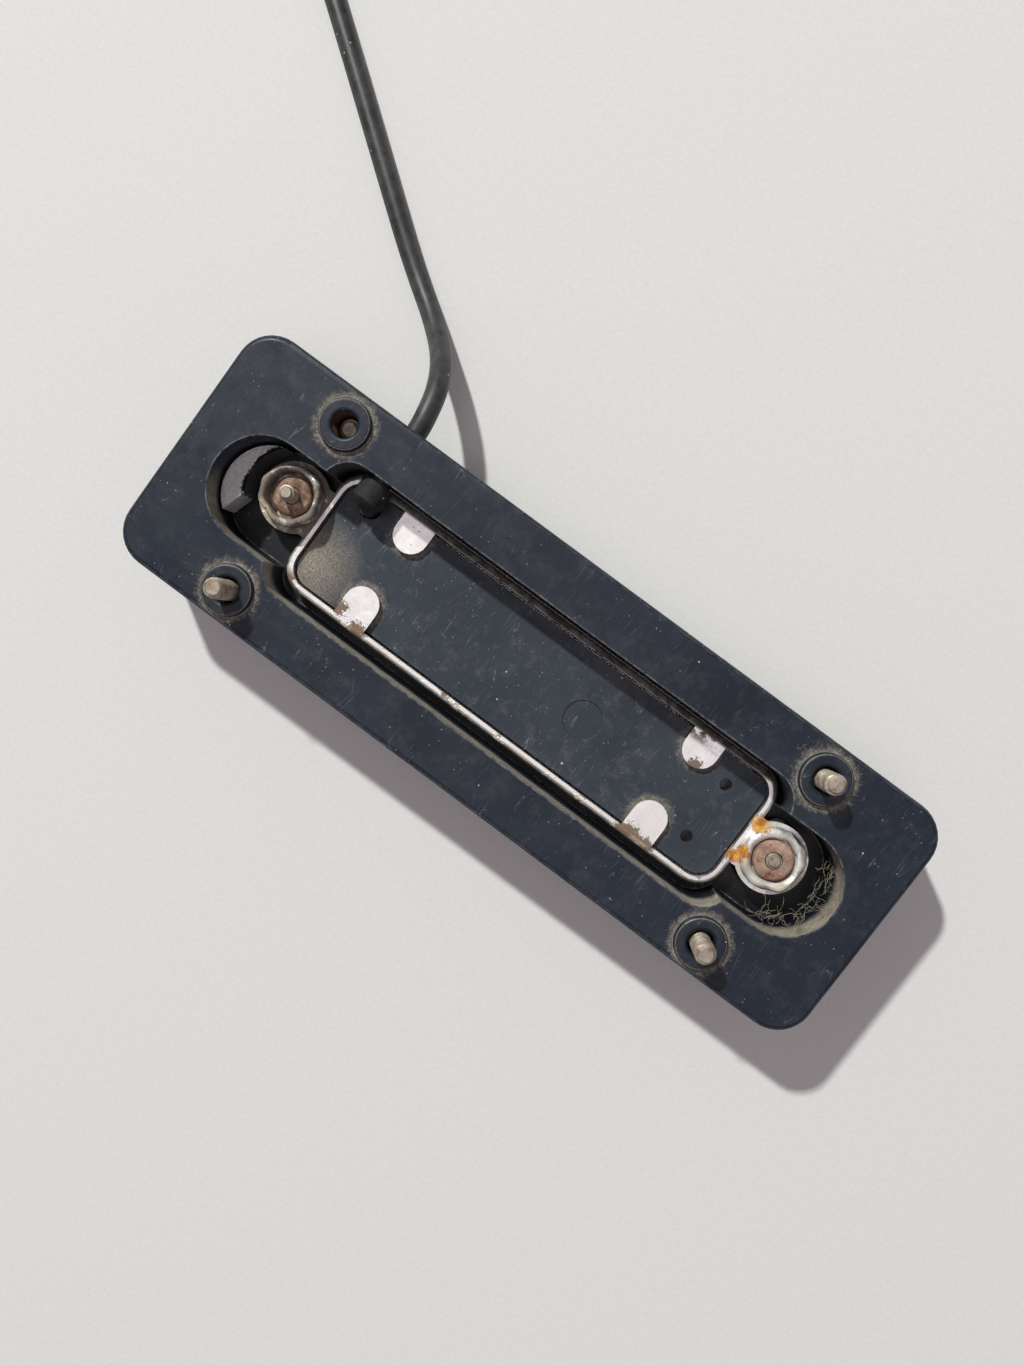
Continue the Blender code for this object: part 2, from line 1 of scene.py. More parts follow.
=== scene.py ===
# %% [markdown]
# # A guitar pickup lying face down in its mounting surround
#
# A single-coil pickup is a plated metal can with magnets and a winding inside. It hangs on two
# height screws in a black moulded surround, and four more screws hold the surround to the guitar.
# Here it lies upside down, so its back shows: the black base plate, the four folded tabs that
# hold it, the captive nuts on the can's ears, and the thin lead that leaves through the side wall.
#
# The measured model gives every real size. This script adds what that model leaves plain:
# threads, worn edges, dust, rust, scratches, the lead and its small coil.

# %% Load the measured model
import json
import math
import random

import bmesh
import bpy
from mathutils import Matrix, Vector, noise


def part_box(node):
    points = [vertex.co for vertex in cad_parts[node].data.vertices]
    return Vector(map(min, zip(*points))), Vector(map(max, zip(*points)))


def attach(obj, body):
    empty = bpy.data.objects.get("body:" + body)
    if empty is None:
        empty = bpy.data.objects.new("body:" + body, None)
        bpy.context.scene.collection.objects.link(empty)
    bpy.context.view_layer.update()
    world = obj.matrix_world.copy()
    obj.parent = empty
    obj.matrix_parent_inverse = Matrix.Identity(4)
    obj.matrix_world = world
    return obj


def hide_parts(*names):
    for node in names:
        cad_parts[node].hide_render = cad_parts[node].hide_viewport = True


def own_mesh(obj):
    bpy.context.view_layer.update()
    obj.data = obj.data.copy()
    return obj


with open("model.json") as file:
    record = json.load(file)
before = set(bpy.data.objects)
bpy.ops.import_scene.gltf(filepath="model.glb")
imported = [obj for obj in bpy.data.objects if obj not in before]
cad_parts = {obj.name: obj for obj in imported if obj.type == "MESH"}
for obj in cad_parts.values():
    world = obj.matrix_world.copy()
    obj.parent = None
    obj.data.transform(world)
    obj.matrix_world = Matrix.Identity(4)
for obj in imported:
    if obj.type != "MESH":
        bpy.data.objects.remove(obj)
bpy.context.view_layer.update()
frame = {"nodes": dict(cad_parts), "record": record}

# %% [markdown]
# ## Lengths
#
# Lengths are written in millimetres, because that's how such a part is drawn, and Blender's unit
# here is the metre. One small helper does the change. Most places come from the model's own boxes,
# so a piece that's drawn again lands where the measured one is.

# %% Lengths and places
MM = 0.001


def mm(*values):
    """Millimetres to Blender's metres: one number, or a point."""
    return values[0] * MM if len(values) == 1 else Vector([v * MM for v in values])


def middle(node):
    """The middle of a node's box, seen from above."""
    low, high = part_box(node)
    return (low.x + high.x) / 2, (low.y + high.y) / 2


EARS = {side: middle(f"captive_nut_{side}") for side in ("left", "right")}
SCREWS = [name for name in frame["nodes"] if name.startswith("mounting_screw")]
TAB_COLUMNS = (-24.0, 24.3)
TAB_ROWS = {"upper": 6.5, "lower": -5.0}
SLOT_END = (42.2, -0.4)
print("ears at", {side: [round(v / MM, 1) for v in place] for side, place in EARS.items()})

# %% [markdown]
# ## The camera
#
# The object is seen from almost straight above its back, turned so that its long side runs down
# to the right. A wide lens close to it makes the near rims a little larger than what lies deep in
# the pocket. A camera looks along its own -Z axis, so its matrix is built from three directions.
# Back points from what it looks at to where it stands. Right starts as a level direction, turned
# as the object lies, and is tipped until it's square to back. Up is square to both.

# %% Place the camera
CAMERA_PLACE = mm(1.63, 6.87, 145.02)
LOOKED_AT = mm(-1.54, -1.85, 0.0)
CAMERA_TURN = math.radians(36.59)
SENSOR_WIDTH = 36.0
LENS_PER_SENSOR = 0.74

camera_data = bpy.data.cameras.new("camera")
camera_data.sensor_width = SENSOR_WIDTH
camera_data.lens = SENSOR_WIDTH * LENS_PER_SENSOR
camera_data.clip_start = 0.005
camera = bpy.data.objects.new("camera", camera_data)
back = (CAMERA_PLACE - LOOKED_AT).normalized()
level = Vector((math.cos(CAMERA_TURN), math.sin(CAMERA_TURN), 0.0))
right = (level - level.dot(back) * back).normalized()
camera.matrix_world = Matrix.Translation(CAMERA_PLACE) @ Matrix(
    (right, back.cross(right), back)).transposed().to_4x4()
bpy.context.scene.collection.objects.link(camera)
bpy.context.scene.camera = camera
print("the lens is", round(camera_data.lens, 2), "mm")

# %% [markdown]
# ## Light and floor
#
# One strong lamp to the upper left stands for the sun. A smaller lamp gives crisper shadows and a
# larger one softer, so it's about as wide as a hand. A large pale ceiling light fills the shadows
# a little and gives the metal something bright to reflect. The world adds a dim pink fill, while
# the camera itself sees a plain pale backdrop.

# %% Light the scene
bpy.context.scene.view_settings.view_transform = "Standard"
world = bpy.data.worlds.new("studio")
world.use_nodes = True
sky = world.node_tree
fill = sky.nodes["Background"]
fill.inputs["Color"].default_value = (1.0, 0.89, 0.96, 1.0)
fill.inputs["Strength"].default_value = 0.22
backdrop = sky.nodes.new("ShaderNodeBackground")
backdrop.inputs["Color"].default_value = (0.80, 0.80, 0.81, 1.0)
ray = sky.nodes.new("ShaderNodeLightPath")
either = sky.nodes.new("ShaderNodeMixShader")
sky.links.new(ray.outputs["Is Camera Ray"], either.inputs[0])
sky.links.new(fill.outputs[0], either.inputs[1])
sky.links.new(backdrop.outputs[0], either.inputs[2])
sky.links.new(either.outputs[0], sky.nodes["World Output"].inputs["Surface"])
bpy.context.scene.world = world


def add_lamp(name, direction, distance, size, watts, colour):
    """A square area light that faces the middle of the object from one direction."""
    data = bpy.data.lights.new(name, "AREA")
    data.size = size
    data.energy = watts
    data.color = colour
    lamp = bpy.data.objects.new(name, data)
    toward = Vector(direction).normalized()
    lamp.matrix_world = Matrix.LocRotScale(
        toward * distance, toward.to_track_quat("Z", "Y"), None)
    bpy.context.scene.collection.objects.link(lamp)


add_lamp("main_light", direction=(-0.618, 0.368, 0.694), distance=2.5, size=0.10, watts=60.0,
         colour=(0.97, 1.0, 0.965))
add_lamp("ceiling_light", direction=(0.05, -0.1, 1.0), distance=1.6, size=1.0, watts=3.6,
         colour=(1.0, 0.93, 0.98))
print("two lamps")

# %% [markdown]
# The floor is one large pale sheet. It is not attached to the object.

# %% Lay the floor
floor_mesh = bpy.data.meshes.new("floor")
shape = bmesh.new()
bmesh.ops.create_grid(shape, x_segments=1, y_segments=1, size=1.5)
shape.to_mesh(floor_mesh)
shape.free()
floor = bpy.data.objects.new("floor", floor_mesh)
floor.location.z = -mm(0.02)
bpy.context.scene.collection.objects.link(floor)
print("a floor", round(floor.dimensions.x, 1), "m wide")

# %% [markdown]
# ## The lead
#
# The pickup's signal leaves on one thin shielded lead, 3 mm thick and soft. It comes straight out
# of the rubber bushing through a slot in the side wall, sinks to the table under its own weight
# and lies along it. What isn't needed is kept as a coil of a little over two turns, with a tie.
#
# A curve suits a lead: its points are the middle line, and the bevel depth gives it thickness. The
# route's points are joined by a smooth curve through all of them, so no bend shows a corner.

# %% The route of the lead
LEAD_RADIUS = 1.5
LYING = 1.52
LEAD_EXIT = (-30.9, 17.6, 12.0)
LEAD_ROUTE = [
    (-30.9, 9.2, 12.0), (-30.9, 12.0, 12.0), LEAD_EXIT, (-31.3, 20.6, 11.8),
    (-32.2, 23.6, 10.8), (-33.8, 26.4, 8.9), (-36.0, 28.9, 6.6), (-38.8, 31.2, 4.3),
    (-42.1, 33.6, 2.6), (-46.0, 36.2, 1.7), (-50.4, 39.3, LYING), (-55.2, 42.9, LYING),
    (-61.8, 47.9, LYING), (-71.3, 55.1, LYING), (-79.3, 61.1, LYING), (-87.0, 66.8, LYING),
    (-94.0, 71.9, LYING),
]
COIL_CENTRE = (-81.6, 89.5)
COIL_START = 235
COIL_KNOTS = [
    (0, 21.5, LYING), (32, 18.1, LYING), (345, 18.05, LYING), (395, 14.95, LYING),
    (690, 14.95, 1.55), (735, 15.3, 4.5), (775, 18.2, 4.62), (815, 21.6, 3.0), (845, 21.5, LYING),
]
COIL_STEP = 15


def coil_points():
    """Points of the stored turns, eased from one (angle, radius, height) knot to the next."""
    points = []
    for turned_by in range(COIL_STEP, COIL_KNOTS[-1][0] + 1, COIL_STEP):
        before = max(k for k in COIL_KNOTS if k[0] < turned_by)
        after = min(k for k in COIL_KNOTS if k[0] >= turned_by)
        share = (turned_by - before[0]) / (after[0] - before[0])
        share = share * share * (3 - 2 * share)
        radius = before[1] + (after[1] - before[1]) * share
        height = before[2] + (after[2] - before[2]) * share
        angle = math.radians(COIL_START - turned_by)
        points.append((COIL_CENTRE[0] + radius * math.cos(angle),
                       COIL_CENTRE[1] + radius * math.sin(angle), height))
    return points


def smooth_line(points, steps):
    """Points on a smooth curve through all the given points (a Catmull-Rom spline)."""
    ends = [Vector(p) for p in points]
    ends = [2 * ends[0] - ends[1]] + ends + [2 * ends[-1] - ends[-2]]
    line = []
    for a, b, c, d in zip(ends, ends[1:], ends[2:], ends[3:]):
        for step in range(steps):
            t = step / steps
            line.append(0.5 * (2 * b + (c - a) * t + (2 * a - 5 * b + 4 * c - d) * t * t
                               + (3 * b - a - 3 * c + d) * t ** 3))
    return line + [ends[-2]]


LEAD_TAIL = [(-79.6, 111.4, LYING), (-75.6, 112.0, LYING)]
lead_line = smooth_line(LEAD_ROUTE + coil_points() + LEAD_TAIL, 3)

# %% [markdown]
# Blender's curve follows those points as straight pieces, short enough to look round. The bevel
# depth is multiplied by each point's own radius, and the curve's box grows by that radius too, so
# the thickness is given at the points. Caps close both ends.

# %% Make the lead


def make_line(name, points, radius):
    """A round cord through points in millimetres."""
    data = bpy.data.curves.new(name, "CURVE")
    data.dimensions = "3D"
    data.bevel_depth = 1.0
    data.bevel_resolution = 3
    data.use_fill_caps = True
    spline = data.splines.new("POLY")
    spline.points.add(len(points) - 1)
    for point, place in zip(spline.points, points):
        point.co = (*(Vector(place) * MM), 1.0)
        point.radius = radius * MM
    spline.use_smooth = True
    line = bpy.data.objects.new(name, data)
    bpy.context.scene.collection.objects.link(line)
    return line


lead = make_line("lead", lead_line, LEAD_RADIUS)
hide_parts("cable", "cable_coil", "cable_end")
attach(lead, "pickup")
print("lead:", len(lead_line), "points")

# %% [markdown]
# ## Surface effects that several materials share
#
# Dust, scratches and worn edges are the same on plastic, metal and rubber, so each is built once
# as a shader node group and placed in every material that needs it. A group's sockets are made
# with `interface.new_socket`. Each group gives out a mask from 0 to 1, and the material decides
# which colour lies under it. They read Object coordinates, which are in metres here, so a scale
# of 1000 makes one repeat per millimetre.

# %% Helpers for node trees


def new_group(name, inputs):
    """An empty shader node group: number or vector inputs (name: default), and one mask out."""
    group = bpy.data.node_groups.new(name, "ShaderNodeTree")
    for label, value in inputs.items():
        kind = "NodeSocketFloat" if isinstance(value, (int, float)) else "NodeSocketVector"
        socket = group.interface.new_socket(name=label, in_out="INPUT", socket_type=kind)
        socket.default_value = value
    group.interface.new_socket(name="Mask", in_out="OUTPUT", socket_type="NodeSocketFloat")
    return group, Wiring(group)


class Wiring:
    """Short names for adding nodes to a tree and joining them."""

    def __init__(self, tree):
        self.tree = tree

    def join(self, value, socket):
        """Links a socket to another, or sets it to a plain value."""
        if isinstance(value, bpy.types.NodeSocket):
            self.tree.links.new(value, socket)
        else:
            socket.default_value = value

    def node(self, kind, settings=None, **inputs):
        """Adds a node; each keyword is an input's name, or _ and its number, and what it gets."""
        made = self.tree.nodes.new("ShaderNode" + kind)
        for key, value in (settings or {}).items():
            setattr(made, key, value)
        for key, value in inputs.items():
            self.join(value, made.inputs[int(key[1:]) if key[0] == "_" else key.replace("_", " ")])
        return made

    def math(self, operation, a, b=0.0, clamp=False):
        made = self.node("Math", {"operation": operation, "use_clamp": clamp}, _0=a, _1=b)
        return made.outputs[0]

    def times(self, first, *others):
        """Several masks multiplied together."""
        for other in others:
            first = self.math("MULTIPLY", first, other)
        return first

    def most(self, first, *others):
        """The greatest of several masks."""
        for other in others:
            first = self.math("MAXIMUM", first, other)
        return first

    def ramp(self, value, start, end, low=0.0, high=1.0):
        """A straight ramp: low below start, high above end."""
        made = self.node("MapRange", {"clamp": True}, Value=value, From_Min=start, From_Max=end,
                         To_Min=low, To_Max=high)
        return made.outputs[0]

    def mix(self, share, first, second):
        """One colour over another, by a mask."""
        made = self.tree.nodes.new("ShaderNodeMix")
        made.data_type = "RGBA"
        self.join(share, made.inputs[0])
        for key, value in ((6, first), (7, second)):
            self.join((*value, 1.0) if isinstance(value, tuple) else value, made.inputs[key])
        return made.outputs[2]

    def place(self):
        return self.node("TexCoord").outputs["Object"]

    def spots(self, scale, detail=3.0, roughness=0.55):
        """Noise at so many repeats per millimetre."""
        made = self.node("TexNoise", Vector=self.place(), Scale=scale / MM, Detail=detail,
                         Roughness=roughness)
        return made.outputs[0]

    def distance_from(self, centre):
        """How far a point lies from an upright axis, in metres."""
        flat = self.node("VectorMath", {"operation": "MULTIPLY"}, _0=self.place(),
                         _1=(1.0, 1.0, 0.0))
        return self.node("VectorMath", {"operation": "DISTANCE"}, _0=flat.outputs[0],
                         _1=centre).outputs["Value"]

    def halo(self, centre, inner, outer):
        """The dust halo's mask round a point of the drawing's plane, in millimetres."""
        return self.group(HALO, Centre=mm(*centre, 0.0), Inner_mm=inner, Outer_mm=outer)

    def group(self, group, **inputs):
        return self.node("Group", {"node_tree": group}, **inputs).outputs[0]

    def give(self, value):
        self.tree.links.new(value, self.tree.nodes.new("NodeGroupOutput").inputs["Mask"])

    def take(self, label):
        return self.tree.nodes.new("NodeGroupInput").outputs[label]


print("node helpers are ready")

# %% [markdown]
# **Specks.** Old plastic carries countless white specks: lint, grit and nicks. A Voronoi texture
# gives every cell its own distance and colour, so a speck is a cell's centre, and only the cells
# whose random colour is high get one.

# %% Group: specks
SPECKS, tree = new_group("specks", {"Per mm": 0.8, "Size": 0.12, "Share": 0.4})
cells = tree.node("TexVoronoi", Vector=tree.place(), Scale=tree.times(tree.take("Per mm"), 1 / MM))
random_parts = tree.node("SeparateColor", Color=cells.outputs["Color"]).outputs
near = tree.math("LESS_THAN", cells.outputs["Distance"],
                 tree.times(tree.take("Size"), random_parts[1]))
chosen = tree.math("LESS_THAN", random_parts[0], tree.take("Share"))
tree.give(tree.times(near, chosen))
print("group", SPECKS.name)

# %% [markdown]
# **Scratches.** A scratch is long and thin. Noise that's stretched far along one direction gives
# streaks, and only its thinnest middle values are kept, which leaves hair lines. A second, slower
# noise breaks the lines off, and three directions are laid over each other.

# %% Group: scratches
SCRATCHES, tree = new_group("scratches", {"Per mm": 1.0, "Amount": 0.5})
lines = []
for angle, shift in ((0.5, 0.0), (1.4, 0.4), (2.5, 0.9)):
    turned = tree.node("Mapping", Vector=tree.place(), Rotation=(0.0, 0.0, angle),
                       Location=(shift, shift, 0.0), Scale=(1.0, 0.12, 1.0)).outputs[0]
    streak = tree.node("TexNoise", Vector=turned, Detail=0.0, Distortion=0.9,
                       Scale=tree.times(tree.take("Per mm"), 1 / MM)).outputs[0]
    from_middle = tree.math("ABSOLUTE", tree.math("SUBTRACT", streak, 0.5))
    hair = tree.ramp(from_middle, 0.0, 0.007, 1.0, 0.0)
    lines.append(tree.times(hair, tree.ramp(tree.spots(0.25 + 0.05 * angle, 2.0), 0.56, 0.62)))
tree.give(tree.times(tree.most(*lines), tree.take("Amount")))
print("group", SCRATCHES.name)

# %% [markdown]
# **Worn edges.** Handling polishes and scuffs the edges first. The Bevel node gives the normal
# that a rounded edge would have; where it differs from the real normal there is an edge. Noise
# breaks the band up, as wear is never even.

# %% Group: edge wear
EDGE_WEAR, tree = new_group("edge wear", {"Width mm": 0.5, "Amount": 0.6})
rounded = tree.node("Bevel", {"samples": 6},
                    Radius=tree.times(tree.take("Width mm"), MM)).outputs[0]
flat = tree.node("NewGeometry").outputs["Normal"]
alike = tree.node("VectorMath", {"operation": "DOT_PRODUCT"}, _0=rounded, _1=flat).outputs["Value"]
edge = tree.ramp(alike, 0.85, 0.995, 1.0, 0.0)
broken = tree.ramp(tree.spots(0.9, 4.0, 0.7), 0.38, 0.62)
tree.give(tree.times(edge, broken, tree.take("Amount")))
print("group", EDGE_WEAR.name)

# %% [markdown]
# **Ring dust.** Grime gathers round bosses and ears, where a cloth doesn't reach. The distance
# from an upright axis, in the drawing's plane, makes a soft ring that fades outwards.

# %% Group: dust round a centre
HALO, tree = new_group("dust halo", {"Centre": (0.0, 0.0, 0.0), "Inner mm": 3.0, "Outer mm": 6.0})
away = tree.times(tree.distance_from(tree.take("Centre")), 1 / MM)
ragged = tree.math("ADD", away, tree.ramp(tree.spots(1.6, 6.0, 0.75), 0.3, 0.7, -0.7, 0.7))
fade = tree.ramp(ragged, tree.take("Inner mm"), tree.take("Outer mm"), 1.0, 0.0)
outside = tree.math("GREATER_THAN", away, tree.math("SUBTRACT", tree.take("Inner mm"), 0.1))
crumbs = tree.ramp(tree.spots(3.5, 4.0, 0.7), 0.36, 0.60, 0.25, 1.0)
tree.give(tree.times(fade, outside, crumbs))
print("group", HALO.name)

# %% [markdown]
# **Patches.** Rust, stains and grease come in blotches with ragged borders: noise, cut at a level.

# %% Group: patches
PATCHES, tree = new_group("patches", {"Per mm": 0.5, "Level": 0.5, "Softness": 0.1})
value = tree.node("TexNoise", Vector=tree.place(), Detail=6.0, Roughness=0.62,
                  Scale=tree.times(tree.take("Per mm"), 1 / MM)).outputs[0]
upper = tree.math("ADD", tree.take("Level"), tree.take("Softness"))
tree.give(tree.ramp(value, tree.take("Level"), upper))
print("group", PATCHES.name)

# %% [markdown]
# ## Materials
#
# Each finish is one Principled material: what the object is made of, then what time left on it.
# A helper starts each one and sets the sockets that are the same all over.

# %% Start a material


def new_material(name, roughness, metallic=0.0, specular=0.5):
    material = bpy.data.materials.new(name)
    material.use_nodes = True
    shader = material.node_tree.nodes["Principled BSDF"]
    shader.inputs["Roughness"].default_value = roughness
    shader.inputs["Metallic"].default_value = metallic
    shader.inputs["Specular IOR Level"].default_value = specular
    return material, Wiring(material.node_tree), shader


def finish_material(tree, shader, colour, roughness=None, metallic=None, height=None, depth=0.05):
    """Joins the colour and, where given, roughness, metallic and bump to the shader."""
    tree.tree.links.new(colour, shader.inputs["Base Color"])
    if roughness is not None:
        tree.tree.links.new(roughness, shader.inputs["Roughness"])
    if metallic is not None:
        tree.tree.links.new(metallic, shader.inputs["Metallic"])
    if height is not None:
        bump = tree.node("Bump", Height=height, Strength=1.0, Distance=mm(depth))
        tree.tree.links.new(bump.outputs[0], shader.inputs["Normal"])


DUST_TAN = (0.42, 0.36, 0.27)
SPECK_WHITE = (0.48, 0.48, 0.46)
SPECK_GREY = (0.20, 0.21, 0.21)
print("materials can start")

# %% [markdown]
# ** Black moulded plastic** has a cold grey-blue sheen where light grazes it. Its back face is
# scuffed and specked, and tan dust rings the four bosses. The walls of the pocket that face the
# lamp get a tan that is partly dust and partly painted light. Those walls are picked out by height
# and by the way they face. Low in the slot the plastic is painted near-black as shade.

# %% Black moulded plastic
plastic, tree, shader = new_material("black moulded plastic", 0.5, specular=0.36)
colour = tree.mix(tree.ramp(tree.spots(0.06, 4.0), 0.3, 0.7), (0.004, 0.008, 0.017),
                  (0.013, 0.020, 0.033))
colour = tree.mix(tree.ramp(tree.spots(0.35, 6.0, 0.75), 0.48, 0.72, 0.0, 0.40), colour,
                  (0.060, 0.068, 0.078))
x, y, z = tree.node("SeparateXYZ", Vector=tree.place()).outputs
facing_x, facing_y, facing_z = tree.node(
    "SeparateXYZ", Vector=tree.node("NewGeometry").outputs["Normal"]).outputs
for name in SCREWS:
    boss = [v / MM for v in middle(name)]
    ring_dust = tree.times(tree.halo(boss, 3.3, 4.5), tree.ramp(facing_z, 0.7, 0.95), 0.75)
    colour = tree.mix(ring_dust, colour, DUST_TAN)
    rusty = 0.9 if name.endswith("left_upper") else 0.35
    hole_rust = tree.times(tree.halo(boss, 0.0, 2.9), tree.ramp(z, mm(15.7), mm(15.2)), rusty)
    colour = tree.mix(hole_rust, colour, (0.30, 0.10, 0.045))
# The tan on the pocket walls is partly dust and partly painted light: only the upper parts of the
# walls that face the lamp get it.
inside = tree.times(tree.math("LESS_THAN", tree.math("ABSOLUTE", x), mm(50)),
                    tree.math("LESS_THAN", tree.math("ABSOLUTE", y), mm(12)))
wall = tree.times(tree.ramp(z, mm(10.5), mm(12.2)), tree.math("LESS_THAN", z, mm(15.35)), inside)
long_side = tree.ramp(facing_y, 0.1, 0.6)
right_end = tree.times(tree.ramp(facing_x, -0.2, -0.8), tree.math("GREATER_THAN", x, mm(40)))
dust_and_painted_light_on_walls = tree.times(wall, tree.most(long_side, right_end),
                        tree.ramp(tree.spots(0.7, 5.0, 0.7), 0.30, 0.60, 0.45, 1.0))
colour = tree.mix(dust_and_painted_light_on_walls, colour, (0.40, 0.355, 0.28))
# Painted shade: low in the slot the plastic is painted near-black, as the deep slot lies in shade.
painted_deep_shade = tree.times(tree.ramp(z, mm(10.5), mm(8.5)), inside, 0.85)
colour = tree.mix(painted_deep_shade, colour, (0.002, 0.002, 0.003))
colour = tree.mix(tree.group(SPECKS, Per_mm=1.6, Size=0.16, Share=0.25), colour, SPECK_GREY)
colour = tree.mix(tree.group(SPECKS, Per_mm=0.45, Size=0.075, Share=0.5), colour, SPECK_WHITE)
scratch = tree.group(SCRATCHES, Per_mm=0.55, Amount=0.30)
colour = tree.mix(scratch, colour, (0.25, 0.26, 0.27))
worn = tree.group(EDGE_WEAR, Width_mm=0.5, Amount=0.75)
colour = tree.mix(worn, colour, (0.33, 0.33, 0.33))
rough = tree.ramp(tree.spots(0.15, 5.0), 0.35, 0.65, 0.36, 0.58)
grain = tree.math("ADD", tree.spots(2.2, 4.0), tree.times(scratch, -1.5))
finish_material(tree, shader, colour, rough, height=grain, depth=0.015)
print(plastic.name)

# %% [markdown]
# **The base plate** is black fibre board: flatter and a little bluer than the surround, with a
# web of fine scratches. Tan dust has gathered close round the four tabs and in one corner.

# %% Black fibre
fibre, tree, shader = new_material("black fibre", 0.55, specular=0.35)
colour = tree.mix(tree.ramp(tree.spots(0.09, 4.0), 0.3, 0.7), (0.018, 0.026, 0.038),
                  (0.036, 0.046, 0.060))
colour = tree.mix(tree.ramp(tree.spots(0.5, 6.0, 0.75), 0.52, 0.70, 0.0, 0.45), colour,
                  (0.11, 0.118, 0.12))
for tab_x in TAB_COLUMNS:
    for row, strength in (("upper", 0.55), ("lower", 0.75)):
        tab_dust = tree.times(tree.halo((tab_x, TAB_ROWS[row]), 2.2, 3.5), strength)
        colour = tree.mix(tab_dust, colour, DUST_TAN)
corner = tree.times(tree.halo((-33.0, -4.5), 0.2, 7.5), 0.9)
colour = tree.mix(corner, colour, DUST_TAN)
colour = tree.mix(tree.group(SPECKS, Per_mm=1.8, Size=0.17, Share=0.35), colour, SPECK_GREY)
colour = tree.mix(tree.group(SPECKS, Per_mm=0.5, Size=0.085, Share=0.6), colour, SPECK_WHITE)
scratch = tree.group(SCRATCHES, Per_mm=0.7, Amount=0.45)
colour = tree.mix(scratch, colour, (0.30, 0.31, 0.32))
rough = tree.ramp(tree.spots(0.2, 5.0), 0.35, 0.65, 0.42, 0.62)
grain = tree.math("SUBTRACT", tree.spots(1.6, 5.0), scratch)
finish_material(tree, shader, colour, rough, height=grain, depth=0.02)
print(fibre.name)

# %% [markdown]
# ** Plated metal.** The can is nickel-plated and has dulled to a warm silver. Where the tabs bend,
# the plating has lifted and rust shows. The left ear is brown with old grime, and the right ear's
# neck has bright orange spots. The rim along the shaded side of the pocket is painted dark as
# shade, and a cream painted highlight lies on the lip of the left cup.

# %% Worn nickel plating


def spots_of(tree, places, strength):
    """One mask for several ragged spots, each given by its place and its reach in millimetres."""
    spots = [tree.halo(place, 0.0, reach) for place, reach in places]
    return tree.most(0.0, *(tree.math("MULTIPLY", spot, strength, clamp=True) for spot in spots))


TAB_RUST = [((23.0, -8.9), 2.2), ((25.9, -8.4), 1.3), ((-22.4, -8.6), 1.6), ((-26.0, -7.0), 1.0),
            ((24.8, 4.3), 1.0)]
NECK_RUST = [((36.5, 3.3), 1.35), ((36.2, -2.2), 1.2), ((36.9, -1.0), 1.0)]

nickel, tree, shader = new_material("worn nickel plating", 0.35, metallic=0.9)
colour = tree.mix(tree.ramp(tree.spots(0.4, 5.0, 0.65), 0.35, 0.65), (0.80, 0.78, 0.74),
                  (0.92, 0.91, 0.90))
x, y, z = tree.node("SeparateXYZ", Vector=tree.place()).outputs
near_back = tree.math("GREATER_THAN", z, mm(8.0))
from_middle = tree.math("ABSOLUTE", tree.math("SUBTRACT", y, mm(0.4)))
roots = tree.times(tree.ramp(from_middle, mm(6.6), mm(8.0)), tree.math("GREATER_THAN", z, mm(8.8)))
lifted = tree.times(roots, tree.group(PATCHES, Per_mm=0.35, Level=0.56, Softness=0.06))
crust = tree.times(tree.most(lifted, spots_of(tree, TAB_RUST, 7.0)), near_back)
colour = tree.mix(tree.times(crust, 0.92), colour, (0.17, 0.085, 0.045))
# Painted shade: the rim of the upper long wall lies in the surround's shadow, so its colour is
# painted dark.
painted_rim_shade = tree.times(tree.ramp(y, mm(8.5), mm(8.9)), tree.ramp(z, mm(8.6), mm(9.0)),
                   tree.ramp(tree.spots(0.8, 4.0), 0.3, 0.6, 0.80, 1.0))
colour = tree.mix(painted_rim_shade, colour, (0.055, 0.045, 0.038))
ears = tree.ramp(tree.math("ABSOLUTE", x), mm(35.6), mm(37.2))
dirt = tree.times(ears, tree.group(PATCHES, Per_mm=0.30, Level=0.40, Softness=0.25))
colour = tree.mix(tree.times(dirt, 0.80), colour, (0.42, 0.35, 0.25))
orange = tree.times(spots_of(tree, NECK_RUST, 4.0), near_back)
bright_rust = tree.mix(tree.ramp(tree.spots(0.9, 4.0), 0.42, 0.60), (0.42, 0.14, 0.02),
                       (0.80, 0.42, 0.05))
colour = tree.mix(orange, colour, bright_rust)
brown = tree.times(tree.math("LESS_THAN", x, mm(-35.6)),
                   tree.group(PATCHES, Per_mm=0.5, Level=0.36, Softness=0.14))
colour = tree.mix(tree.times(brown, 0.85), colour, (0.13, 0.09, 0.065))
# Painted highlight: a cream patch on the lower lip of the left cup stands for the lit inner wall
# there.
painted_highlight_lip = tree.times(tree.halo((-41.4, -2.0), 0.3, 2.6), 0.8)
colour = tree.mix(painted_highlight_lip, colour, (0.62, 0.52, 0.38))
rim = tree.times(tree.ramp(y, mm(-8.0), mm(-8.3)),
                 tree.ramp(tree.spots(0.25, 4.0, 0.7), 0.42, 0.58), 0.55)
colour = tree.mix(rim, colour, (0.86, 0.78, 0.62))
specks = tree.times(tree.group(SPECKS, Per_mm=0.9, Size=0.2, Share=0.2), 0.5)
colour = tree.mix(specks, colour, (0.30, 0.28, 0.25))
# The real marks and the painted rim shade together make the metal rougher and duller here.
marks_and_painted_shade = tree.most(crust, painted_rim_shade, dirt, orange, tree.times(brown, 0.75))
rough = tree.math("ADD", tree.ramp(tree.spots(0.8, 4.0), 0.3, 0.7, 0.34, 0.48),
                  tree.times(marks_and_painted_shade, 0.4), clamp=True)
metal = tree.ramp(marks_and_painted_shade, 0.0, 1.0, 0.92, 0.05)
lumps = tree.math("ADD", tree.spots(0.9, 4.0), tree.times(marks_and_painted_shade, 1.4))
finish_material(tree, shader, colour, rough, metal, height=lumps, depth=0.04)
print(nickel.name)

# %% [markdown]
# **Steel screws** are zinc-plated and dirty: tan grime in the threads, grey on the crests and
# bare at the tip.

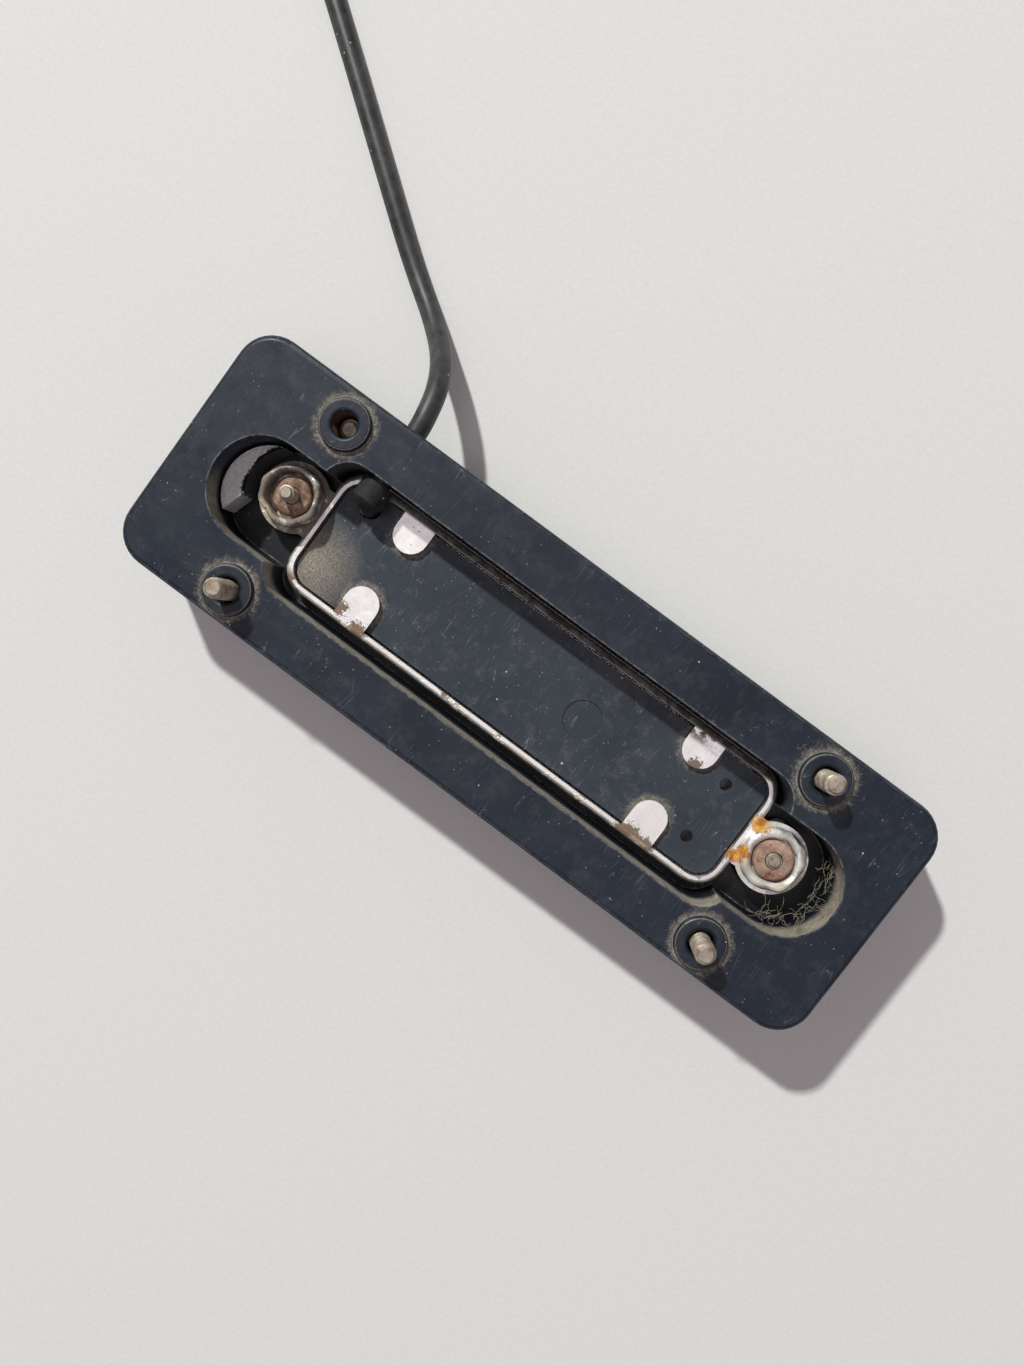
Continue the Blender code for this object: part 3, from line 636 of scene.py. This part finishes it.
# %% Dirty steel
steel, tree, shader = new_material("dirty steel", 0.5, metallic=0.6)
colour = tree.mix(tree.ramp(tree.spots(0.7, 5.0, 0.7), 0.35, 0.65), (0.30, 0.245, 0.18),
                  (0.52, 0.47, 0.39))
grime = tree.times(tree.group(PATCHES, Per_mm=0.8, Level=0.52, Softness=0.1), 0.7)
colour = tree.mix(grime, colour, (0.20, 0.12, 0.07))
worn = tree.group(EDGE_WEAR, Width_mm=0.15, Amount=0.7)
colour = tree.mix(worn, colour, (0.62, 0.60, 0.55))
rough = tree.ramp(tree.spots(1.5, 4.0), 0.3, 0.7, 0.40, 0.65)
finish_material(tree, shader, colour, rough, height=tree.spots(2.5, 4.0), depth=0.03)
print(steel.name)

# %% [markdown]
# **Rusty nuts.** Rust is rough, brown-pink to dark red, and stands up in crusts. Bare metal is left
# on a few crests only, so the metallic value follows the patches. The left nut is the darker one.

# %% Rusted steel
rust, tree, shader = new_material("rusted steel", 0.85)
colour = tree.mix(tree.ramp(tree.spots(0.6, 6.0, 0.7), 0.32, 0.68), (0.17, 0.085, 0.055),
                  (0.48, 0.33, 0.26))
dark_red = tree.group(PATCHES, Per_mm=0.35, Level=0.62, Softness=0.08)
colour = tree.mix(dark_red, colour, (0.16, 0.035, 0.02))
ochre = tree.times(tree.group(PATCHES, Per_mm=1.3, Level=0.58, Softness=0.06), 0.6)
colour = tree.mix(ochre, colour, (0.60, 0.33, 0.14))
bare = tree.group(PATCHES, Per_mm=0.9, Level=0.60, Softness=0.1)
colour = tree.mix(bare, colour, (0.42, 0.38, 0.34))
x, y, z = tree.node("SeparateXYZ", Vector=tree.place()).outputs
burnt = tree.times(tree.math("LESS_THAN", x, 0.0),
                   tree.group(PATCHES, Per_mm=0.45, Level=0.44, Softness=0.1), 0.8)
colour = tree.mix(burnt, colour, (0.11, 0.055, 0.03))
finish_material(tree, shader, colour, tree.ramp(bare, 0.0, 1.0, 0.9, 0.5),
                tree.ramp(bare, 0.0, 1.0, 0.0, 0.8), height=tree.spots(1.1, 6.0), depth=0.15)
print(rust.name)

# %% [markdown]
# ** Grey felt** packs the left end of the slot. Pressed fibres of many greys give it a fine fleck,
# and round the ear it is torn and turns near black out to a ragged edge.

# %% Grey felt
felt, tree, shader = new_material("grey felt", 0.95, specular=0.1)
colour = tree.mix(tree.ramp(tree.spots(2.4, 5.0, 0.7), 0.35, 0.65), (0.56, 0.56, 0.56),
                  (0.78, 0.78, 0.77))
colour = tree.mix(tree.group(SPECKS, Per_mm=2.2, Size=0.20, Share=0.20), colour, (0.05, 0.05, 0.05))
colour = tree.mix(tree.group(SPECKS, Per_mm=2.6, Size=0.20, Share=0.20), colour, (0.72, 0.71, 0.68))
NEAR_BLACK_REACH = 6.6
ear = Vector((*EARS["left"], 0.0))
torn = tree.math("ADD", tree.distance_from(ear),
                 tree.ramp(tree.spots(1.1, 6.0, 0.8), 0.3, 0.7, mm(-0.5), mm(0.5)))
# Near the ear the felt is coloured near black, out to a ragged edge.
near_black_round_ear = tree.ramp(torn, mm(NEAR_BLACK_REACH + 0.2), mm(NEAR_BLACK_REACH))
colour = tree.mix(near_black_round_ear, colour, (0.006, 0.006, 0.008))
finish_material(tree, shader, colour, height=tree.spots(3.0, 6.0), depth=0.2)
shader.inputs["Sheen Weight"].default_value = 0.2
print(felt.name)

# %% [markdown]
# **Rubber, foam and the lead's jacket** are dark and differ mostly in how rough they are. One
# function makes all three: a base colour, a dusty one, and the size of their grain.

# %% Rubber, foam and the lead's jacket


def dark_material(name, base, dusty, roughness, grain, depth, dust):
    material, tree, shader = new_material(name, roughness, specular=0.4)
    colour = tree.mix(tree.ramp(tree.spots(0.5, 5.0, 0.7), 0.35, 0.70), base, dusty)
    colour = tree.mix(tree.group(SPECKS, Per_mm=1.2, Size=0.18, Share=dust), colour, SPECK_WHITE)
    finish_material(tree, shader, colour, height=tree.spots(grain, 5.0), depth=depth)
    return material


rubber = dark_material("black rubber", (0.006, 0.006, 0.008), (0.030, 0.028, 0.026),
                       roughness=0.7, grain=2.0, depth=0.04, dust=0.25)
foam = dark_material("black foam", (0.003, 0.003, 0.004), (0.016, 0.014, 0.012),
                     roughness=0.95, grain=3.0, depth=0.35, dust=0.15)
jacket = dark_material("grey lead jacket", (0.022, 0.021, 0.023), (0.062, 0.060, 0.060),
                       roughness=0.45, grain=1.2, depth=0.02, dust=0.15)
print(rubber.name, foam.name, jacket.name, sep=", ")

# %% [markdown]
# **Inside the can** are the bobbin, its copper winding and six magnets. They hardly show, yet an
# opened or exploded view shows them, so each has its own finish. The conductors at the lead's
# stripped end are done the same way. The winding's turns are fine bands across its height, which
# a wave along Z gives.

# %% Finishes for hidden parts


def plain_material(name, dark, light, roughness, metallic=0.0, scale=1.0, depth=0.02):
    material, tree, shader = new_material(name, roughness, metallic)
    colour = tree.mix(tree.ramp(tree.spots(scale, 5.0, 0.65), 0.3, 0.7), dark, light)
    finish_material(tree, shader, colour, height=tree.spots(2 * scale, 4.0), depth=depth)
    return material


bobbin_plastic = plain_material("cream bobbin plastic", (0.52, 0.45, 0.31), (0.66, 0.60, 0.45),
                                roughness=0.4, scale=0.3, depth=0.02)
magnet_metal = plain_material("cast magnet", (0.16, 0.16, 0.165), (0.34, 0.34, 0.35),
                              roughness=0.5, metallic=0.9, scale=0.8, depth=0.05)
tinned = plain_material("tinned copper", (0.48, 0.44, 0.38), (0.74, 0.70, 0.64),
                        roughness=0.35, metallic=0.9, scale=1.5, depth=0.04)
insulation = plain_material("white insulation", (0.66, 0.64, 0.58), (0.78, 0.77, 0.72),
                            roughness=0.45, scale=0.7, depth=0.01)
copper, tree, shader = new_material("enamelled copper", 0.35, metallic=0.4)
turns = tree.node("TexWave", {"bands_direction": "Z"}, Vector=tree.place(), Scale=3.2 / MM,
                  Distortion=1.5, Detail=2.0).outputs["Fac"]
finish_material(tree, shader, tree.mix(turns, (0.16, 0.035, 0.012), (0.46, 0.15, 0.05)),
                height=turns, depth=0.03)
print("five finishes for hidden parts")

# %% [markdown]
# **The floor** is matt and pale with the faintest mottle.

# %% The floor's finish
paper, tree, shader = new_material("pale floor", 0.9, specular=0.1)
mottle = tree.ramp(tree.spots(1.6, 5.0, 0.7), 0.3, 0.7)
finish_material(tree, shader, tree.mix(mottle, (0.705, 0.695, 0.68), (0.755, 0.75, 0.735)),
                height=tree.spots(1.6, 5.0), depth=0.03)
floor.data.materials.append(paper)
print(paper.name)

# %% [markdown]
# ## Giving the measured parts their finish
#
# The table below says which material stands for each of the record's material slots. Parts whose
# shape is already right keep it, and only get the finish.

# %% Finish by slot
FINISHES = {
    "black_plastic": plastic, "black_fibre": fibre, "nickel": nickel, "dull_steel": steel,
    "rusty_steel": rust, "grey_felt": felt, "black_rubber": rubber, "black_foam": foam,
    "grey_lead": jacket, "white_insulation": insulation, "tinned_copper": tinned,
    "cream_bobbin": bobbin_plastic, "enamelled_wire": copper, "magnet_alloy": magnet_metal,
}
SLOT_OF = {row["node"]: row["material_slot"] for row in frame["record"]["subparts"]}
BODY_OF = {node: body for body, nodes in frame["record"]["behaviour"]["bodies"].items()
           for node in nodes}
for name, node in frame["nodes"].items():
    node.data.materials.clear()
    node.data.materials.append(FINISHES[SLOT_OF[name]])
lead.data.materials.append(jacket)
print(len(frame["nodes"]), "parts have their finish")

# %% [markdown]
# ## Softening the edges of moulded and stamped parts
#
# A measured part is loose triangles with knife edges. Real moulded plastic, pressed metal and cut
# board all have a small round along every edge, which is what catches the light. The helper makes
# a copy, joins its points, dissolves the lines across flat faces, and lets a Bevel modifier round
# each sharp edge. Large faces and level ones stay flat-shaded, so that no soft shading runs across
# them from a corner. The copy then stands for the measured part.

# %% A copy with rounded edges
SHARP_ANGLE = math.radians(32)
LARGE_AREA = 12 * MM * MM
LEVEL_NORMAL = 0.9995


def merged_copy(node):
    """A bmesh of the part with its triangles joined and its flat faces made whole."""
    shape = bmesh.new()
    shape.from_mesh(frame["nodes"][node].data)
    bmesh.ops.remove_doubles(shape, verts=shape.verts, dist=mm(0.002))
    bmesh.ops.dissolve_limit(shape, angle_limit=math.radians(0.6), verts=shape.verts,
                             edges=shape.edges)
    bmesh.ops.recalc_face_normals(shape, faces=shape.faces)
    return shape


def stand_in(node, shape, name, rounding=None, segments=2):
    """Makes the shape an object that rides, is finished and is named for a measured part."""
    mesh = bpy.data.meshes.new(name)
    shape.to_mesh(mesh)
    shape.free()
    mesh.materials.append(FINISHES[SLOT_OF[node]])
    piece = bpy.data.objects.new(name, mesh)
    bpy.context.scene.collection.objects.link(piece)
    mesh.set_sharp_from_angle(angle=SHARP_ANGLE)
    for face in mesh.polygons:
        face.use_smooth = face.area < LARGE_AREA and abs(face.normal.z) < LEVEL_NORMAL
    if rounding:
        edge = piece.modifiers.new("rounded_edges", "BEVEL")
        edge.width = mm(rounding)
        edge.segments = segments
        edge.limit_method = "ANGLE"
        edge.angle_limit = SHARP_ANGLE
        edge.use_clamp_overlap = True
    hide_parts(node)
    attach(piece, BODY_OF[node])
    return piece


print("parts can be copied")

# %% [markdown]
# The surround is moulded, so its edges are rounder than the board's. The top edges of its four
# bosses are rounder still. Those are the only sharp edges at that height, and they're bevelled in
# the copy itself before the modifier rounds the others.

# %% The surround and the base plate
BOSS_EDGE_HEIGHT = 16.1
BOSS_ROUNDING = 0.45

shape = merged_copy("surround")
rings = [edge for edge in shape.edges
         if all(v.co.z > mm(BOSS_EDGE_HEIGHT) for v in edge.verts) and edge.calc_face_angle(0) > 1]
bmesh.ops.bevel(shape, geom=rings, affect="EDGES", offset=mm(BOSS_ROUNDING), segments=5,
                profile=0.5, material=-1)
surround = stand_in("surround", shape, "moulded_surround", 0.22, 3)
base_plate = stand_in("base_plate", merged_copy("base_plate"), "fibre_base_plate", 0.10)
print("surround:", len(surround.data.polygons), "faces; base plate:", len(base_plate.data.polygons))

# %% [markdown]
# ## The plated cover
#
# The cover is drawn from thin sheet, so every edge is round. Its two ear cups are crimped by hand
# over the nuts, and no crimp is even: their rims wander in and out. The points of the copy that
# lie above an ear are moved by smooth noise, a few tenths of a millimetre at most.

# %% The cover with its crimped cups
CUP_REACH = 4.8
CUP_START = 9.45
SIDEWAYS = 0.10
SIDEWAYS_PER_METRE = 520.0
UPWARDS = 0.40
UPWARDS_PER_METRE = 420.0
SETTLED = 0.12

shape = merged_copy("pickup_cover")
for vert in shape.verts:
    for ear_x, ear_y in EARS.values():
        away = Vector((vert.co.x - ear_x, vert.co.y - ear_y))
        if away.length < mm(CUP_REACH) and vert.co.z > mm(CUP_START):
            here = Vector((vert.co.x, vert.co.y, 0.0))
            vert.co.xy += away * SIDEWAYS * noise.noise(here * SIDEWAYS_PER_METRE)
            here = Vector((vert.co.y, vert.co.x, 0.4))
            vert.co.z += mm(UPWARDS) * noise.noise(here * UPWARDS_PER_METRE) - mm(SETTLED)
cover = stand_in("pickup_cover", shape, "plated_cover", 0.22, 3)
print("cover:", len(cover.data.polygons), "faces")

# %% [markdown]
# ## Nuts, felt, bushing, tie, bobbin and foam
#
# The same helper does the smaller parts, each with a rounding that suits its size.

# %% The smaller parts
SMALL_PARTS = [
    ("end_pad", "felt_packing", 0.15), ("lead_grommet", "rubber_bushing", 0.15),
    ("cable_tie", "wire_tie", 0.1), ("bobbin", "wound_bobbin", 0.1),
    ("captive_nut_left", "left_ear_nut", 0.12), ("captive_nut_right", "right_ear_nut", 0.12),
]
for node, name, rounding in SMALL_PARTS:
    stand_in(node, merged_copy(node), name, rounding)
print(len(SMALL_PARTS), "smaller parts")

# %% [markdown]
# ** Foam rings.** Each ring sits on the surround's floor under an ear. Old foam has sunk a little,
# so the copy is lower than when new, and each ring gets a mesh of its own.

# %% The foam rings
SUNK_FOAM = 0.78
for side, (ear_x, ear_y) in EARS.items():
    node = f"foam_washer_{side}"
    floor_of_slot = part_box(node)[0].z
    shape = merged_copy(node)
    for vert in shape.verts:
        vert.co.z = floor_of_slot + SUNK_FOAM * (vert.co.z - floor_of_slot)
    ring = stand_in(node, shape, f"{side}_foam_ring")
    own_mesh(ring)
print("two foam rings")

# %% [markdown]
# ## Threaded screws
#
# A thread is one V-shaped profile wound upwards. `spin` turns the profile round the axis, and its
# `dvec` lifts it a little at each step, so that after one turn it has climbed exactly one pitch
# and meets itself. Joining the doubles makes one continuous surface. Two cuts with `bisect_plane`
# make its ends flat, and the end faces are drawn out into the tip and the head.

# %% Wind a thread
STEPS_PER_TURN = 20
CREST_SHARES = (0.42, 0.58)


def wound_thread(centre, core, crest, pitch, bottom, top):
    """An open-ended thread surface between two heights, in metres."""
    shape = bmesh.new()
    start = bottom - 1.5 * pitch
    turns = math.ceil((top - start) / pitch) + 1
    profile = [(core, 0.0), *((crest, share * pitch) for share in CREST_SHARES), (core, pitch)]
    verts = [shape.verts.new((centre[0] + r, centre[1], start + h)) for r, h in profile]
    edges = [shape.edges.new(pair) for pair in zip(verts, verts[1:])]
    bmesh.ops.spin(shape, geom=verts + edges, cent=(*centre, 0.0), axis=(0, 0, 1),
                   dvec=(0, 0, pitch / STEPS_PER_TURN), angle=math.tau * turns,
                   steps=STEPS_PER_TURN * turns, use_merge=False)
    bmesh.ops.remove_doubles(shape, verts=shape.verts, dist=mm(0.004))
    for height, normal in ((top, (0, 0, 1)), (bottom, (0, 0, -1))):
        bmesh.ops.bisect_plane(shape, geom=shape.verts[:] + shape.edges[:] + shape.faces[:],
                               plane_co=(0, 0, height), plane_no=normal, clear_outer=True,
                               dist=mm(0.001))
    return shape


def close_end(shape, centre, height, rings):
    """Fills the opening at a height, then draws its face out through (radius, height) rings."""
    rim = [edge for edge in shape.edges
           if edge.is_boundary and all(abs(v.co.z - height) < mm(0.01) for v in edge.verts)]
    face = bmesh.ops.contextual_create(shape, geom=rim)["faces"][0]
    for radius, ring_height in rings:
        face = bmesh.ops.extrude_discrete_faces(shape, faces=[face])["faces"][0]
        for vert in face.verts:
            away = Vector((vert.co.x - centre[0], vert.co.y - centre[1])).normalized() * radius
            vert.co = Vector((centre[0] + away.x, centre[1] + away.y, ring_height))


print("threads can be wound")

# %% [markdown]
# Each screw takes its place and length from the measured one. The thread runs from just under the
# head to the tip, and the tip has a short chamfer. The head faces the front, with a driver slot
# that a Boolean cuts.

# %% Make the screws
HEAD_TOP = mm(4.1)
THREAD_START = HEAD_TOP + mm(0.6)
SHANK_START = HEAD_TOP + mm(0.5)
TIP_LENGTH = mm(0.35)
CHAMFER_LENGTH = mm(0.3)
CHAMFER_SHARE = 0.78
DRIVER_SLOT_WIDTH = mm(0.7)
DRIVER_SLOT_DEPTH = mm(0.7)


def cut_driver_slot(screw, centre, front, length):
    """Cuts a straight slot across a head with a Boolean, and keeps the result as the mesh."""
    blade = bmesh.new()
    size = Matrix.Diagonal((length, DRIVER_SLOT_WIDTH, 2 * DRIVER_SLOT_DEPTH, 1.0))
    bmesh.ops.create_cube(blade, size=1.0, matrix=Matrix.Translation((*centre, front)) @ size)
    blade_mesh = bpy.data.meshes.new(screw.name + "_blade")
    blade.to_mesh(blade_mesh)
    blade.free()
    cutter = bpy.data.objects.new(screw.name + "_blade", blade_mesh)
    bpy.context.scene.collection.objects.link(cutter)
    cut = screw.modifiers.new("driver_slot", "BOOLEAN")
    cut.object = cutter
    cut.solver = "EXACT"
    depsgraph = bpy.context.evaluated_depsgraph_get()
    cut_mesh = bpy.data.meshes.new_from_object(screw.evaluated_get(depsgraph))
    screw.modifiers.clear()
    screw.data = cut_mesh
    bpy.data.objects.remove(cutter)


def make_screw(node, name, core, crest, pitch, head):
    """A threaded screw; its head is (share of the head's radius, drop in mm) rings."""
    low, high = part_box(node)
    centre = middle(node)
    head_radius = (high.x - low.x) / 2
    thread_end = high.z - TIP_LENGTH
    shape = wound_thread(centre, core, crest, pitch, THREAD_START, thread_end)
    close_end(shape, centre, thread_end,
              [(core, high.z - CHAMFER_LENGTH), (core * CHAMFER_SHARE, high.z)])
    rings = [(core, SHANK_START), (core, HEAD_TOP)]
    rings += [(head_radius * share, HEAD_TOP - mm(drop)) for share, drop in head]
    close_end(shape, centre, THREAD_START, rings)
    bmesh.ops.recalc_face_normals(shape, faces=shape.faces)
    screw = stand_in(node, shape, name)
    cut_driver_slot(screw, centre, low.z, 2 * head_radius + mm(1))


PAN_HEAD = [(1.0, 0.0), (0.93, 0.9), (0.67, 1.5), (0.3, 1.7)]
CHEESE_HEAD = [(1.0, 0.0), (1.0, 0.8), (0.74, 1.4), (0.3, 1.5)]
for node in SCREWS:
    make_screw(node, node.replace("mounting_screw", "threaded_screw"),
               core=mm(1.13), crest=mm(1.38), pitch=mm(0.6), head=PAN_HEAD)
for side in EARS:
    make_screw(f"height_screw_{side}", f"threaded_height_screw_{side}",
               core=mm(0.86), crest=mm(1.08), pitch=mm(0.5), head=CHEESE_HEAD)
print(len(SCREWS) + len(EARS), "threaded screws")

# %% [markdown]
# ## Lint
#
# Years of pocket fluff have caught in the right end of the slot: short pale hairs that lie against
# the wall. Each hair is a few points that wander from its root, and all of them are one curve
# object with many splines. The random numbers are seeded, so the hairs are the same every time.

# %% Scatter the lint
random.seed(7)
HAIR_COUNT = 70
HAIR_RADIUS = 0.025
HAIR_STEP = 0.42
LINT_REACH = 6.8

lint_data = bpy.data.curves.new("slot_lint", "CURVE")
lint_data.dimensions = "3D"
lint_data.bevel_depth = 1.0
lint_data.bevel_resolution = 0
lint_data.use_fill_caps = True
end_x, end_y = SLOT_END
for hair in range(HAIR_COUNT):
    angle = math.radians(random.uniform(-85, 60))
    reach = random.uniform(5.2, 6.6)
    place = Vector((end_x + reach * math.cos(angle), end_y + reach * math.sin(angle),
                    random.uniform(9.2, 14.2)))
    heading = random.uniform(0, math.tau)
    spline = lint_data.splines.new("POLY")
    spline.points.add(5)
    for point in spline.points:
        point.co = (*(place * MM), 1.0)
        point.radius = HAIR_RADIUS * MM
        heading += random.uniform(-0.7, 0.7)
        step = Vector((math.cos(heading), math.sin(heading), random.uniform(-0.5, 0.5)))
        place = place + step * HAIR_STEP
        out = Vector((place.x - end_x, place.y - end_y))
        if out.length > LINT_REACH:
            out *= LINT_REACH / out.length
            place.x, place.y = end_x + out.x, end_y + out.y
lint = bpy.data.objects.new("slot_lint", lint_data)
bpy.context.scene.collection.objects.link(lint)
lint_colour, tree, shader = new_material("pale lint", 0.9, specular=0.1)
colour = tree.mix(tree.ramp(tree.spots(1.0, 3.0), 0.4, 0.6), (0.20, 0.17, 0.11), (0.38, 0.34, 0.26))
finish_material(tree, shader, colour)
lint_data.materials.append(lint_colour)
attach(lint, "surround")
print(len(lint_data.splines), "hairs")
